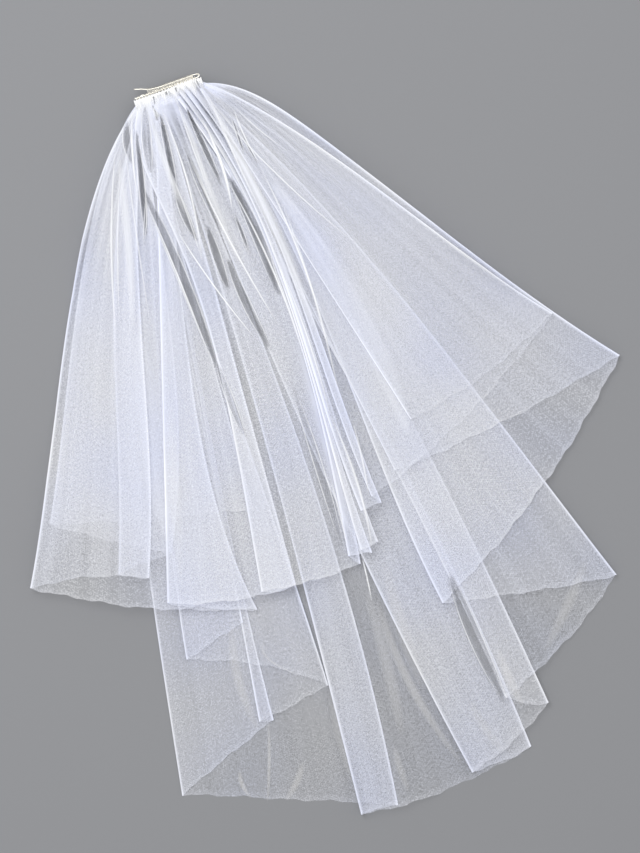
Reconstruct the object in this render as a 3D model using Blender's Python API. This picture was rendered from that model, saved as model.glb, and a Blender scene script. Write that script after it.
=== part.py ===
"""Two-tier bridal veil on a wire comb, laid flat and seen from above.

Both tiers are wide strips of tulle, gathered on the comb and folded in flat pleats that fan out to the hem.
Each tier is one sheet: its rows run from the gathers to the hem, its columns run along the cut's width
through every panel and round every fold. The panels settle on each other and on the comb by a height map.
Sizes are millimetres, X to the right, Y towards the comb, Z up from the surface that the veil lies on.
"""
import math
from collections import namedtuple

import bpy
import numpy as np

MM = 0.001

# Comb and header, placed by s, along the comb from its left end, and v, from the comb towards the hem
COMB_LEFT_END = (-211.0, 380.0)
COMB_SLOPE_DEG = 19.2
COMB_LENGTH = 78.0
SPINE_HEIGHT = 9.0
SPINE_WIRE = 1.3
SPINE_SIDES = 6
STRAND_FAR_V = -3.3
STRAND_NEAR_V = 0.3
STRAND_LOOP_S = 74.0
STRAND_LOOP_DEPTH = 3.0
COIL_WIRE = 0.7
COIL_SIDES = 4
COIL_START = 27.0
COIL_END = 70.0
COIL_TURNS = 18
COIL_STEPS = 8
COIL_HALF_DEPTH = 3.5
COIL_HALF_HEIGHT = 1.6
TOOTH_WIRE = 1.2
TOOTH_SIDES = 5
TOOTH_COUNT = 18
TOOTH_PITCH = 4.1
TOOTH_LENGTH = 38.0
TOOTH_TOP_V = -1.5
TOOTH_DROP = 5.4
HEADER_NEAR_V = 2.7
HEADER_FAR_V = 8.0
HEADER_LOW = 7.0
HEADER_LEAST_HIGH = 16.0
HEADER_ABOVE_CLOTH = 0.6
HEADER_CORNER = 1.6
HEADER_GATHERS = 26
HEADER_RUFFLE = 0.7

# Cloth
TULLE_WALL = 1.0
LAYER_STEP = 1.36
SEAM_GAP = 0.3
FOLD_RADIUS = 0.68
MITRE_LEAST = 0.62
COLUMN_WIDTH = 58.0
ROWS = (0.0, 0.02, 0.045, 0.08, 0.13, 0.2, 0.29, 0.4, 0.52, 0.65, 0.78, 0.9, 1.0)
MAP_CELL = 0.75
MAP_HALF_WIDTH = 380.0
MAP_HALF_LENGTH = 470.0
SINK_SHARES = (0.5, 0.5, 0.7, 1.0, 1.0)
SINK_LEAST_WEIGHT = 0.001
COMB_MOUND = 7.5
MOUND_REACH = 88.0
MOUND_SIDE = 40.0
SHOULDER_PLACE = 0.12
VEIL_CENTRE = (-0.65, 1.1)

# One row for each fold, in the order that the cut's width runs through them. turn says which side of the
# fold its panels lie on: "edge" is a cut side edge, "left" a fold with its panels to the right, "right" one
# with its panels to the left. gather is its place along the comb. hem_x and hem_y are its corner at the hem.
# sway_high and sway_low are its sideways bows at 30% and 70% of its run, and shoulder the one at 12%, close
# under the gathers. hem_bow is the outward bow of the hem from the row before to this one.
Fold = namedtuple("Fold", "turn gather hem_x hem_y sway_high sway_low shoulder hem_bow")

LOWER_FOLDS = (
    Fold("edge", 5, -91, -194, 0, 0, 0, 0),
    Fold("left", 0, -153, -237, 0, -6, 0, 0),
    Fold("right", 14, 3, -263, -9, -4, 0, -9),
    Fold("left", 11, -73, -305, 0, 0, 0, 2),
    Fold("right", 14.5, -57, -302, -3, -6, 0, 0),
    Fold("left", 9, -158, -385, -30, -22, 0, 0),
    Fold("right", 30, 80, -396, 18, 21, 0, 0),
    Fold("left", 26.5, 39, -406, 9, 7, 0, 0),
    Fold("right", 42, 227, -332, 22, 21, 0, 10),
    Fold("left", 38.5, 161, -360, -13, -13, 0, 3),
    Fold("right", 54, 246, -284, 30, 23, 0, 4),
    Fold("left", 50.5, 197, -277, 11, 11, 0, 4),
    Fold("right", 66, 321, -143, 21, 13, 3, 8),
    Fold("left", 61.5, 128, -173, 23, 8, 2, 3),
    Fold("right", 78, 323, 99, 12, 3, 14, 15),
    Fold("edge", 72, 76, -28, 0, 0, 0, 7),
)

UPPER_FOLDS = (
    Fold("edge", 6, -79, -70, 0, 0, 0, 0),
    Fold("left", 0, -304, -87, -20, -11, -5, 3),
    Fold("right", 12, -169, -118, 6, 16, 0, 3),
    Fold("left", 9, -227, -141, -22, -10, -2, 0),
    Fold("right", 14, -193, -145, -11, 0, 0, 2),
    Fold("left", 4, -324, -157, -26, -13, -4, -6),
    Fold("right", 26, -75, -180, -11, -24, 0, 9),
    Fold("left", 22.5, -173, -173, 0, 0, 0, 3),
    Fold("right", 31, -32, -153, 0, 0, 0, 7),
    Fold("left", 6, -70, -161, 17, 12, -23, 2),
    Fold("right", 45, 39, -131, 35, 29, 0, 2),
    Fold("left", 42, 25, -122, 33, 26, 0, 0),
    Fold("right", 51, 51, -117, 26, 13, 0, 0),
    Fold("left", 48, 38, -114, 28, 17, 0, 0),
    Fold("right", 57, 58, -106, 25, 12, 0, 0),
    Fold("left", 54, 39, -73, 22, 10, 0, 0),
    Fold("right", 63, 61, -62, 21, 11, 0, 0),
    Fold("left", 60, 50, -56, 21, 9, 0, 0),
    Fold("right", 77, 249, 145, 10, 2, 2, 12),
    Fold("edge", 70, 93, 28, 0, 0, 0, 9),
)

# The spine's free strand from its open end at the left, s and v, up to where it runs straight
FREE_STRAND = ((4.0, -10.0), (12.0, -7.4), (20.0, -4.4), (30.0, -3.3), (45.0, -3.3), (60.0, -3.3))
# The other strand from the loop to its end, s only
TIED_STRAND = (60.0, 40.0, 20.0, 8.0, 1.0)

# Panels in the order that they are laid down: the long tier's widest one is the underside
LOWER_ORDER = (5, 4, 3, 2, 1, 0) + tuple(range(6, len(LOWER_FOLDS) - 1))
UPPER_ORDER = tuple(range(len(UPPER_FOLDS) - 1))

slope = math.radians(COMB_SLOPE_DEG)
ALONG = np.array([math.cos(slope), math.sin(slope)])
DOWN = np.array([math.sin(slope), -math.cos(slope)])


def comb_point(s, v):
    """Plan position of a place s along the comb and v towards the hem."""
    return np.array(COMB_LEFT_END) + s * ALONG + v * DOWN


def clear_scene():
    for item in list(bpy.data.objects):
        bpy.data.objects.remove(item, do_unlink=True)


def finish(name, color, roughness, metallic=0.0):
    material = bpy.data.materials.new(name)
    material.use_nodes = True
    shader = material.node_tree.nodes["Principled BSDF"]
    shader.inputs["Base Color"].default_value = (*color, 1.0)
    shader.inputs["Roughness"].default_value = roughness
    shader.inputs["Metallic"].default_value = metallic
    return material


def add_solid(name, points, faces, material):
    """One closed body from points in millimetres."""
    placed = np.array(points, dtype=float)
    placed[:, :2] -= VEIL_CENTRE
    mesh = bpy.data.meshes.new(name)
    mesh.from_pydata((placed * MM).tolist(), [], faces)
    mesh.validate()
    mesh.materials.append(material)
    mesh.shade_smooth()
    body = bpy.data.objects.new(name, mesh)
    bpy.context.collection.objects.link(body)
    return body


def add_wire(name, route, diameter, sides, material):
    """A tube of round wire along route, an array of points, with flat ends."""
    ahead = np.gradient(route, axis=0)
    ahead /= np.linalg.norm(ahead, axis=1)[:, None]
    ring = []
    side = np.cross(ahead[0], (0.0, 0.0, 1.0))
    for point, tangent in zip(route, ahead):
        side = side - tangent * side.dot(tangent)
        side /= np.linalg.norm(side)
        up = np.cross(tangent, side)
        for k in range(sides):
            turn = 2 * math.pi * k / sides
            ring.append(point + diameter / 2 * (math.cos(turn) * side + math.sin(turn) * up))
    faces = []
    for i in range(len(route) - 1):
        for k in range(sides):
            a = i * sides + k
            b = i * sides + (k + 1) % sides
            faces.append((a, b, b + sides, a + sides))
    faces.append(tuple(range(sides))[::-1])
    faces.append(tuple(range(len(ring) - sides, len(ring))))
    return add_solid(name, ring, faces, material)


def hump(t, peak, other):
    """A cubic that is 1 at peak and 0 at both ends and at other."""
    return t * (t - other) * (t - 1) / (peak * (peak - other) * (peak - 1))


def fold_line(fold):
    """The fold's plan route, one point a row, and the unit vector into its panels."""
    t = np.array(ROWS)[:, None]
    start = comb_point(fold.gather, HEADER_FAR_V + SEAM_GAP)
    run = np.array([fold.hem_x, fold.hem_y]) - start
    across = np.array([-run[1], run[0]]) / np.linalg.norm(run)
    sway = fold.sway_high * hump(t, 0.3, 0.7) + fold.sway_low * hump(t, 0.7, 0.3)
    sway += fold.shoulder * t / SHOULDER_PLACE * np.exp(1 - t / SHOULDER_PLACE)
    line = start + t * run + sway * across
    tangent = np.gradient(line, axis=0)
    tangent /= np.linalg.norm(tangent, axis=1)[:, None]
    inward = np.stack([-tangent[:, 1], tangent[:, 0]], axis=1)
    if fold.turn == "right":
        inward = -inward
    return line, inward * (fold.turn != "edge")


def panel_plan(before, after):
    """Plan points, rows by columns, of the flat panel between two folds."""
    first, first_inward = fold_line(before)
    last, last_inward = fold_line(after)
    first = first + first_inward * FOLD_RADIUS
    last = last + last_inward * FOLD_RADIUS
    width = np.linalg.norm(last[-1] - first[-1])
    columns = max(2, math.ceil(width / COLUMN_WIDTH))
    s = np.linspace(0.0, 1.0, columns + 1)[None, :, None]
    t = np.array(ROWS)[:, None, None]
    plan = first[:, None] * (1 - s) + last[:, None] * s
    outward = plan - comb_point(COMB_LENGTH / 2, 0)
    outward /= np.linalg.norm(outward, axis=2)[:, :, None]
    return plan + outward * after.hem_bow * 4 * s * (1 - s) * t ** 3


def spread(values, u, v):
    """values, given at a net's corners, read at rows u and columns v on its triangles."""
    i = np.minimum(u.astype(int), values.shape[0] - 2)
    j = np.minimum(v.astype(int), values.shape[1] - 2)
    fu = (u - i)[:, None]
    fv = (v - j)[None, :]
    near = values[i][:, j]
    down = values[i + 1][:, j]
    side = values[i][:, j + 1]
    far = values[i + 1][:, j + 1]
    lower = near + fu * (down - near) + fv * (far - down)
    upper = near + fv * (side - near) + fu * (far - side)
    return np.where(fu >= fv, lower, upper)


def map_index(x, y):
    column = np.rint((x + MAP_HALF_WIDTH) / MAP_CELL).astype(int)
    row = np.rint((y + MAP_HALF_LENGTH) / MAP_CELL).astype(int)
    return row, column


def comb_mound():
    """The height map before any cloth is laid: the surface, with a smooth mound over the comb's teeth."""
    x = np.arange(-MAP_HALF_WIDTH, MAP_HALF_WIDTH + MAP_CELL, MAP_CELL)[None, :]
    y = np.arange(-MAP_HALF_LENGTH, MAP_HALF_LENGTH + MAP_CELL, MAP_CELL)[:, None]
    away = (x - COMB_LEFT_END[0], y - COMB_LEFT_END[1])
    s = away[0] * ALONG[0] + away[1] * ALONG[1]
    v = away[0] * DOWN[0] + away[1] * DOWN[1]
    down = np.clip(v / MOUND_REACH, 0, 1)
    beside = np.clip(np.maximum(-s, s - COMB_LENGTH) / MOUND_SIDE, 0, 1)
    fall = (1 - down ** 2 * (3 - 2 * down)) * (1 - beside ** 2 * (3 - 2 * beside))
    return COMB_MOUND * fall - LAYER_STEP + TULLE_WALL / 2


def corner_weights(fu, fv):
    """How much the near, down, side and far corners of a cell count at fractions fu and fv of it."""
    least = np.minimum(fu, fv)
    return 1 - np.maximum(fu, fv), np.maximum(fu - fv, 0), np.maximum(fv - fu, 0), least


def lay_panel(plan, heights):
    """Heights of a panel's points, one step over all that lies beneath. The panel is added to the map.

    Every point starts as high as the highest need in the cells round it. Then the points sink in turn, a
    quarter of them at a time, until the panel touches what is beneath.
    """
    rows, columns = plan.shape[:2]
    across = np.linalg.norm(np.diff(plan, axis=1), axis=2).max()
    along = np.linalg.norm(np.diff(plan, axis=0), axis=2).max()
    u = np.linspace(0, rows - 1, int((rows - 1) * along / MAP_CELL) + 2)
    v = np.linspace(0, columns - 1, int((columns - 1) * across / MAP_CELL) + 2)
    place = map_index(spread(plan[:, :, 0], u, v), spread(plan[:, :, 1], u, v))
    need = heights[place] + LAYER_STEP
    i = np.minimum(u.astype(int), rows - 2)[:, None]
    j = np.minimum(v.astype(int), columns - 2)[None, :]
    highest = np.full((rows + 1, columns + 1), -np.inf)
    np.maximum.at(highest, (i + 1, j + 1), need)
    z = np.maximum(highest[:-1], highest[1:])
    z = np.maximum(z[:, :-1], z[:, 1:])
    near, down, side, far = corner_weights(u[:, None] - i, v[None, :] - j)
    for share in SINK_SHARES:
        for odd_row, odd_column in ((1, 1), (0, 0), (1, 0), (0, 1)):
            is_down = (i % 2 != odd_row)
            is_side = (j % 2 != odd_column)
            weight = np.where(is_down, np.where(is_side, far, down), np.where(is_side, side, near))
            room = (spread(z, u, v) - need) / np.maximum(weight, SINK_LEAST_WEIGHT)
            room = np.where(weight > SINK_LEAST_WEIGHT, room, np.inf)
            sink = np.full(z.shape, np.inf)
            np.minimum.at(sink, (i + is_down, j + is_side), room)
            z = z - share * np.where(np.isfinite(sink), np.maximum(sink, 0), 0)
    np.maximum.at(heights, place, spread(z, u, v))
    window = tuple(slice(index.min() - 2, index.max() + 3) for index in place)
    laid = heights[window]
    for axis in (0, 1):
        laid = np.maximum(laid, np.maximum(np.roll(laid, 1, axis), np.roll(laid, -1, axis)))
    heights[window] = laid
    return z


def settle_tier(folds, order, heights):
    """Every panel's points in the chain's order, laid down on the height map in the order given."""
    plans = [panel_plan(before, after) for before, after in zip(folds, folds[1:])]
    panels = [None] * len(plans)
    for index in order:
        panels[index] = np.dstack([plans[index], lay_panel(plans[index], heights)])
    return panels


def chain_panels(folds, panels):
    """One net for the tier: panel after panel, with a point on the fold's line between two of them."""
    strips = [panels[0]]
    for fold, before, after in zip(folds[1:], panels, panels[1:]):
        height = (before[:, -1, 2] + after[:, 0, 2]) / 2
        strips.append(np.column_stack([fold_line(fold)[0], height])[:, None])
        strips.append(after)
    return np.concatenate(strips, axis=1)


def wall_normals(net):
    """At each point, the mean normal of the strips on both sides, lengthened so that the wall stays even."""
    ahead = np.diff(net, axis=1)
    down = np.gradient(net, axis=0)
    flat = np.cross(ahead, (down[:, :-1] + down[:, 1:]) / 2)
    flat /= np.linalg.norm(flat, axis=2)[:, :, None]
    first = np.concatenate([flat[:, :1], flat], axis=1)
    second = np.concatenate([flat, flat[:, -1:]], axis=1)
    mean = first + second
    mean /= np.linalg.norm(mean, axis=2)[:, :, None]
    return mean / np.maximum((mean * first).sum(axis=2), MITRE_LEAST)[:, :, None]


def add_sheet(name, net, material):
    """A closed wall of TULLE_WALL round the net, with both faces split along the same diagonals.

    Its end at the header is cut square, so that the seam's gap stays open.
    """
    rows, columns = net.shape[:2]
    offset = wall_normals(net) * TULLE_WALL / 2
    offset[0, :, :2] -= (offset[0, :, :2] @ DOWN)[:, None] * DOWN
    points = np.concatenate([(net + offset).reshape(-1, 3), (net - offset).reshape(-1, 3)])
    points[:, 2] = np.maximum(points[:, 2], 0.0)
    index = np.arange(rows * columns).reshape(rows, columns)
    back = index + rows * columns
    near, side, down, far = index[:-1, :-1], index[:-1, 1:], index[1:, :-1], index[1:, 1:]
    front = np.concatenate([np.stack([near, side, far], axis=-1), np.stack([near, far, down], axis=-1)])
    front = front.reshape(-1, 3)
    behind = front[:, ::-1] + rows * columns
    faces = np.concatenate([front, behind]).tolist()
    top = np.stack([index[0, :-1], back[0, :-1], back[0, 1:], index[0, 1:]], axis=1)
    hem = np.stack([index[-1, :-1], index[-1, 1:], back[-1, 1:], back[-1, :-1]], axis=1)
    start = np.stack([index[:-1, 0], index[1:, 0], back[1:, 0], back[:-1, 0]], axis=1)
    end = np.stack([index[:-1, -1], back[:-1, -1], back[1:, -1], index[1:, -1]], axis=1)
    faces += np.concatenate([top, hem, start, end]).tolist()
    return add_solid(name, points, faces, material)


def comb_space(s, v, z):
    """Rows of points from arrays of places along the comb, towards the hem and up."""
    s, v, z = np.broadcast_arrays(s, v, z)
    plan = np.array(COMB_LEFT_END) + s[:, None] * ALONG + v[:, None] * DOWN
    return np.column_stack([plan, z])


def add_spine(material):
    """The spine's two strands, the loop that joins them at the right and the free end at the left."""
    loop = np.radians(np.linspace(-90, 90, 9))
    middle = (STRAND_FAR_V + STRAND_NEAR_V) / 2
    half = (STRAND_NEAR_V - STRAND_FAR_V) / 2
    far_s, far_v = np.array(FREE_STRAND).T
    s = np.concatenate([far_s, STRAND_LOOP_S + STRAND_LOOP_DEPTH * np.cos(loop), TIED_STRAND])
    v = np.concatenate([far_v, middle + half * np.sin(loop), np.full(len(TIED_STRAND), STRAND_NEAR_V)])
    add_wire("comb_spine", comb_space(s, v, SPINE_HEIGHT), SPINE_WIRE, SPINE_SIDES, material)


def add_coil(material):
    """The binding wire, an oval coil round both strands."""
    turn = np.linspace(0, 2 * math.pi * COIL_TURNS, COIL_TURNS * COIL_STEPS + 1)
    s = COIL_START + (COIL_END - COIL_START) * turn / turn[-1]
    v = (STRAND_FAR_V + STRAND_NEAR_V) / 2 + COIL_HALF_DEPTH * np.cos(turn)
    z = SPINE_HEIGHT + COIL_HALF_HEIGHT * np.sin(turn)
    add_wire("comb_coil", comb_space(s, v, z), COIL_WIRE, COIL_SIDES, material)


def add_teeth(material):
    """One long wire bent up and down: legs that curve down to the surface, with round bends at both ends."""
    bend = np.radians(np.array([-60.0, 0.0, 60.0]))
    leg = np.linspace(0.0, 1.0, 5)
    s, v = [], []
    first = (COMB_LENGTH - TOOTH_PITCH * (TOOTH_COUNT - 1)) / 2
    radius = TOOTH_PITCH / 2
    for tooth in range(TOOTH_COUNT):
        side = first + tooth * TOOTH_PITCH
        down = tooth % 2 == 0
        run = leg if down else leg[::-1]
        s.extend(np.full(leg.shape, side))
        v.extend(TOOTH_TOP_V + radius + run * (TOOTH_LENGTH - 2 * radius))
        if tooth < TOOTH_COUNT - 1:
            s.extend(side + radius + radius * np.sin(bend))
            middle = TOOTH_TOP_V + TOOTH_LENGTH - radius if down else TOOTH_TOP_V + radius
            v.extend(middle + (radius if down else -radius) * np.cos(bend))
    v = np.array(v)
    z = TOOTH_WIRE / 2 + TOOTH_DROP * (1 - ((v - TOOTH_TOP_V) / TOOTH_LENGTH) ** 2)
    add_wire("comb_teeth", comb_space(np.array(s), v, z), TOOTH_WIRE, TOOTH_SIDES, material)


def cloth_top(heights, s):
    """How high the cloth is piled beside the header at places s along the comb, evened out along it."""
    spots = np.array(COMB_LEFT_END) + s[:, None] * ALONG + (HEADER_FAR_V + 2 * SEAM_GAP) * DOWN
    pile = heights[map_index(spots[:, 0], spots[:, 1])] + TULLE_WALL / 2
    padded = np.pad(pile, 2, mode="edge")
    highest = np.max([padded[k:k + len(s)] for k in range(5)], axis=0)
    padded = np.pad(highest, 1, mode="edge")
    return (padded[:-2] + padded[1:-1] + padded[2:]) / 3


def add_header(heights, material):
    """The sewn gathers: a rounded bar as high as the cloth piled against it, ruffled along the comb."""
    steps = HEADER_GATHERS * 2
    s = np.linspace(0.0, COMB_LENGTH, steps + 1)
    ruffle = HEADER_RUFFLE * np.cos(np.pi * np.arange(steps + 1))
    top = np.maximum(cloth_top(heights, s) + HEADER_ABOVE_CLOTH, HEADER_LEAST_HIGH) + ruffle
    section = (
        (HEADER_NEAR_V, np.full(s.shape, HEADER_LOW)),
        (HEADER_FAR_V, np.full(s.shape, HEADER_LOW)),
        (HEADER_FAR_V, top - HEADER_CORNER),
        (HEADER_FAR_V - HEADER_CORNER, top),
        (HEADER_NEAR_V + HEADER_CORNER, top - HEADER_CORNER),
        (HEADER_NEAR_V, top - 3 * HEADER_CORNER),
    )
    points = np.concatenate([comb_space(s, v, z) for v, z in section])
    faces = []
    count = len(s)
    for k in range(len(section)):
        nxt = (k + 1) % len(section)
        for i in range(count - 1):
            faces.append((k * count + i, k * count + i + 1, nxt * count + i + 1, nxt * count + i))
    faces.append(tuple(k * count for k in range(len(section))))
    faces.append(tuple(k * count + count - 1 for k in range(len(section)))[::-1])
    add_solid("gathered_header", points, faces, material)


clear_scene()
tulle = finish("white_tulle", (0.83, 0.85, 0.9), 0.7)
gathers = finish("gathered_white_tulle", (0.92, 0.93, 0.95), 0.75)
wire = finish("champagne_metal_wire", (0.78, 0.7, 0.55), 0.3, 1.0)

height_map = comb_mound()
lower_panels = settle_tier(LOWER_FOLDS, LOWER_ORDER, height_map)
upper_panels = settle_tier(UPPER_FOLDS, UPPER_ORDER, height_map)
add_sheet("lower_tier", chain_panels(LOWER_FOLDS, lower_panels), tulle)
add_sheet("upper_tier", chain_panels(UPPER_FOLDS, upper_panels), tulle)
add_header(height_map, gathers)
add_spine(wire)
add_coil(wire)
add_teeth(wire)
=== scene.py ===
"""Two-tier white tulle bridal veil on a wire comb, laid flat and seen from straight above."""
import math
from collections import namedtuple

import bpy
import numpy as np
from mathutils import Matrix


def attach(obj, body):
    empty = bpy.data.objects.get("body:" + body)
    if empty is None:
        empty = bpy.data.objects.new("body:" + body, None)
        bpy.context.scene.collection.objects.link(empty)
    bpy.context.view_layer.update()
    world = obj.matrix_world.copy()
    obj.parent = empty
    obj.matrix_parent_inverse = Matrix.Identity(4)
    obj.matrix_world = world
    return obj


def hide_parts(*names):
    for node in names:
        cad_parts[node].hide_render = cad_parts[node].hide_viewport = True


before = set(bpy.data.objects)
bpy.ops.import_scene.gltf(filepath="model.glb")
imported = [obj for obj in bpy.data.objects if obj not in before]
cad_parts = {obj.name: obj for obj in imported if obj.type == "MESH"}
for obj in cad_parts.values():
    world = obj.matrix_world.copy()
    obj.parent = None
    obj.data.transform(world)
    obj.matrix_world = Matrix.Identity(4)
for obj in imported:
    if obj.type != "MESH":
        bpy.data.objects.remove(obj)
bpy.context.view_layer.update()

# The comb's teeth. One long plated wire, bent up and down into flat hairpins on a jig, whose legs curve down to
# the surface that the veil lies on. The gathers and both tiers lie over it.
MM = 0.001
VEIL_CENTRE = np.array([-0.65, 1.1])
COMB_LEFT_END = np.array([-211.0, 380.0])
COMB_SLOPE_DEG = 19.2
COMB_LENGTH = 78.0
TOOTH_WIRE = 1.2
TOOTH_COUNT = 18
TOOTH_PITCH = 4.1
TOOTH_LENGTH = 38.0
TOOTH_TOP_V = -1.5
TOOTH_DROP = 5.4
TOOTH_STEPS_A_LEG = 24
TOOTH_STEPS_A_BEND = 10
WIRE_SIDES = 12
DRAWING_MARKS_A_METRE = 900.0

slope = math.radians(COMB_SLOPE_DEG)
ALONG = np.array([math.cos(slope), math.sin(slope)])
DOWN = np.array([math.sin(slope), -math.cos(slope)])
UP = np.array([0.0, 0.0, 1.0])


def comb_space(s, v, z):
    """Points from places s along the comb, v from it towards the hem, and z up: corner + s along + v down."""
    s, v, z = np.broadcast_arrays(s, v, z)
    plan = COMB_LEFT_END + s[..., None] * ALONG + v[..., None] * DOWN
    return np.concatenate([plan, z[..., None]], axis=-1)


def unit(vectors):
    """Each vector divided by its length."""
    return vectors / np.linalg.norm(vectors, axis=-1, keepdims=True)


def make_piece(name, points, faces, material, marks=None, cloth_map=None):
    """A mesh at the origin from points in millimetres, moved to the veil's centre, with numbers on its points."""
    placed = np.array(points, dtype=float).reshape(-1, 3)
    placed[:, :2] -= VEIL_CENTRE
    mesh = bpy.data.meshes.new(name)
    mesh.from_pydata((placed * MM).tolist(), [], faces)
    for mark, values in (marks or {}).items():
        layer = mesh.attributes.new(mark, "FLOAT", "POINT")
        layer.data.foreach_set("value", np.ascontiguousarray(values, dtype=np.float32).ravel())
    if cloth_map is not None:
        corner = np.empty(len(mesh.loops), dtype=np.int32)
        mesh.loops.foreach_get("vertex_index", corner)
        layer = mesh.uv_layers.new(name="cloth")
        layer.data.foreach_set("uv", np.ascontiguousarray(cloth_map.reshape(-1, 2)[corner], dtype=np.float32).ravel())
    mesh.shade_smooth()
    mesh.materials.append(material)
    piece = bpy.data.objects.new(name, mesh)
    bpy.context.collection.objects.link(piece)
    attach(piece, "root")
    return piece


def grid_faces(rows, columns, first=0):
    """Quads of a grid of points stored row after row."""
    index = first + np.arange(rows * columns).reshape(rows, columns)
    quads = [index[:-1, :-1], index[1:, :-1], index[1:, 1:], index[:-1, 1:]]
    return np.stack(quads, axis=-1).reshape(-1, 4).tolist()


def make_wire(name, route, diameter, reference, material):
    """Round wire: a circle carried along route, square to it, whose zero points across the route and reference."""
    ahead = unit(np.gradient(route, axis=0))
    side = unit(np.cross(ahead, reference))
    over = np.cross(side, ahead)
    turn = np.linspace(0, 2 * math.pi, WIRE_SIDES, endpoint=False)[None, :, None]
    rings = route[:, None] + diameter / 2 * (np.cos(turn) * side[:, None] + np.sin(turn) * over[:, None])
    index = np.arange(len(route) * WIRE_SIDES).reshape(len(route), WIRE_SIDES)
    after = np.roll(index, -1, axis=1)
    quads = np.stack([index[:-1], index[1:], after[1:], after[:-1]], axis=-1).reshape(-1, 4).tolist()
    ends = [index[0].tolist(), index[-1, ::-1].tolist()]
    return make_piece(name, rings, quads + ends, material)


def linear(hex_colour):
    """An sRGB hex colour as linear red, green, blue and 1."""
    parts = [int(hex_colour[k:k + 2], 16) / 255 for k in (1, 3, 5)]
    return (*[c / 12.92 if c <= 0.04045 else ((c + 0.055) / 1.055) ** 2.4 for c in parts], 1.0)


def add(tree, kind, inputs=None, **settings):
    """Adds a shader node: settings are its own properties, and inputs are values or the sockets that feed it."""
    node = tree.nodes.new("ShaderNode" + kind)
    for key, value in settings.items():
        setattr(node, key, value)
    for key, value in (inputs or {}).items():
        if isinstance(value, bpy.types.NodeSocket):
            tree.links.new(value, node.inputs[key])
        else:
            node.inputs[key].default_value = value
    return node


def plated_wire():
    """Brass wire with a pale champagne plating: warm and bright, dulled a little by fine drawing marks."""
    material = bpy.data.materials.new("champagne_plated_drawn_wire")
    material.use_nodes = True
    tree = material.node_tree
    shader = tree.nodes["Principled BSDF"]
    place = add(tree, "TexCoord")
    marks = add(tree, "TexNoise", {"Vector": place.outputs["Object"], "Scale": DRAWING_MARKS_A_METRE,
                                   "Detail": 3.0})
    tone = add(tree, "MixRGB", {"Fac": marks.outputs["Fac"], "Color1": linear("#DCD6C8"), "Color2": linear("#FFFDF6")})
    dull = add(tree, "MapRange", {"Value": marks.outputs["Fac"], "To Min": 0.22, "To Max": 0.42})
    bump = add(tree, "Bump", {"Height": marks.outputs["Fac"], "Strength": 0.2, "Distance": 0.0001})
    tree.links.new(tone.outputs["Color"], shader.inputs["Base Color"])
    tree.links.new(dull.outputs["Result"], shader.inputs["Roughness"])
    tree.links.new(bump.outputs["Normal"], shader.inputs["Normal"])
    shader.inputs["Metallic"].default_value = 1.0
    return material


def tooth_route():
    """Legs at even pitch, joined by half circles at alternate ends; height falls with the square of v."""
    first = (COMB_LENGTH - TOOTH_PITCH * (TOOTH_COUNT - 1)) / 2
    radius = TOOTH_PITCH / 2
    leg = np.linspace(0.0, 1.0, TOOTH_STEPS_A_LEG)
    bend = np.linspace(-90, 90, TOOTH_STEPS_A_BEND + 2)[1:-1] * math.pi / 180
    side = first + TOOTH_PITCH * np.arange(TOOTH_COUNT)[:, None]
    is_down = (np.arange(TOOTH_COUNT) % 2 == 0)[:, None]
    leg_s = np.broadcast_to(side, (TOOTH_COUNT, len(leg)))
    leg_v = TOOTH_TOP_V + radius + np.where(is_down, leg, leg[::-1]) * (TOOTH_LENGTH - 2 * radius)
    bend_s = side + radius + radius * np.sin(bend)
    bend_end = np.where(is_down, TOOTH_TOP_V + TOOTH_LENGTH - radius, TOOTH_TOP_V + radius)
    bend_v = bend_end + np.where(is_down, radius, -radius) * np.cos(bend)
    s = np.concatenate([leg_s, bend_s], axis=1).ravel()[:-len(bend)]
    v = np.concatenate([leg_v, bend_v], axis=1).ravel()[:-len(bend)]
    z = TOOTH_WIRE / 2 + TOOTH_DROP * (1 - ((v - TOOTH_TOP_V) / TOOTH_LENGTH) ** 2)
    return comb_space(s, v, z)


wire_metal = plated_wire()
teeth = make_wire("comb_teeth_wire", tooth_route(), TOOTH_WIRE, UP, wire_metal)
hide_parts("comb_teeth")

# The comb's spine. Two strands of thicker wire over the teeth's bends, one wire looped back at the right, with
# the free end sprung open at the left.
SPINE_HEIGHT = 9.0
SPINE_WIRE = 1.3
STRAND_FAR_V = -3.3
STRAND_NEAR_V = 0.3
STRAND_LOOP_S = 74.0
STRAND_LOOP_DEPTH = 3.0
STRAND_LOOP_STEPS = 9
SPINE_STEPS = 260
FREE_STRAND = ((4.0, -10.0), (12.0, -7.4), (20.0, -4.4), (30.0, -3.3), (45.0, -3.3), (60.0, -3.3))
TIED_STRAND = (60.0, 40.0, 20.0, 8.0, 1.0)


def eased_route(points, count):
    """A smooth route through the points: each coordinate's cubic between them, by arc length, at count places."""
    reach = np.concatenate([[0.0], np.cumsum(np.linalg.norm(np.diff(points, axis=0), axis=1))])
    lean = np.gradient(points, reach, axis=0)
    at = np.linspace(0, reach[-1], count)
    k = np.clip(np.searchsorted(reach, at, side="right") - 1, 0, len(reach) - 2)
    span = (reach[k + 1] - reach[k])[:, None]
    f = (at - reach[k])[:, None] / span
    start = (1 + 2 * f) * (1 - f) ** 2 * points[k] + f * (1 - f) ** 2 * span * lean[k]
    end = f ** 2 * (3 - 2 * f) * points[k + 1] - f ** 2 * (1 - f) * span * lean[k + 1]
    return start + end


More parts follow.
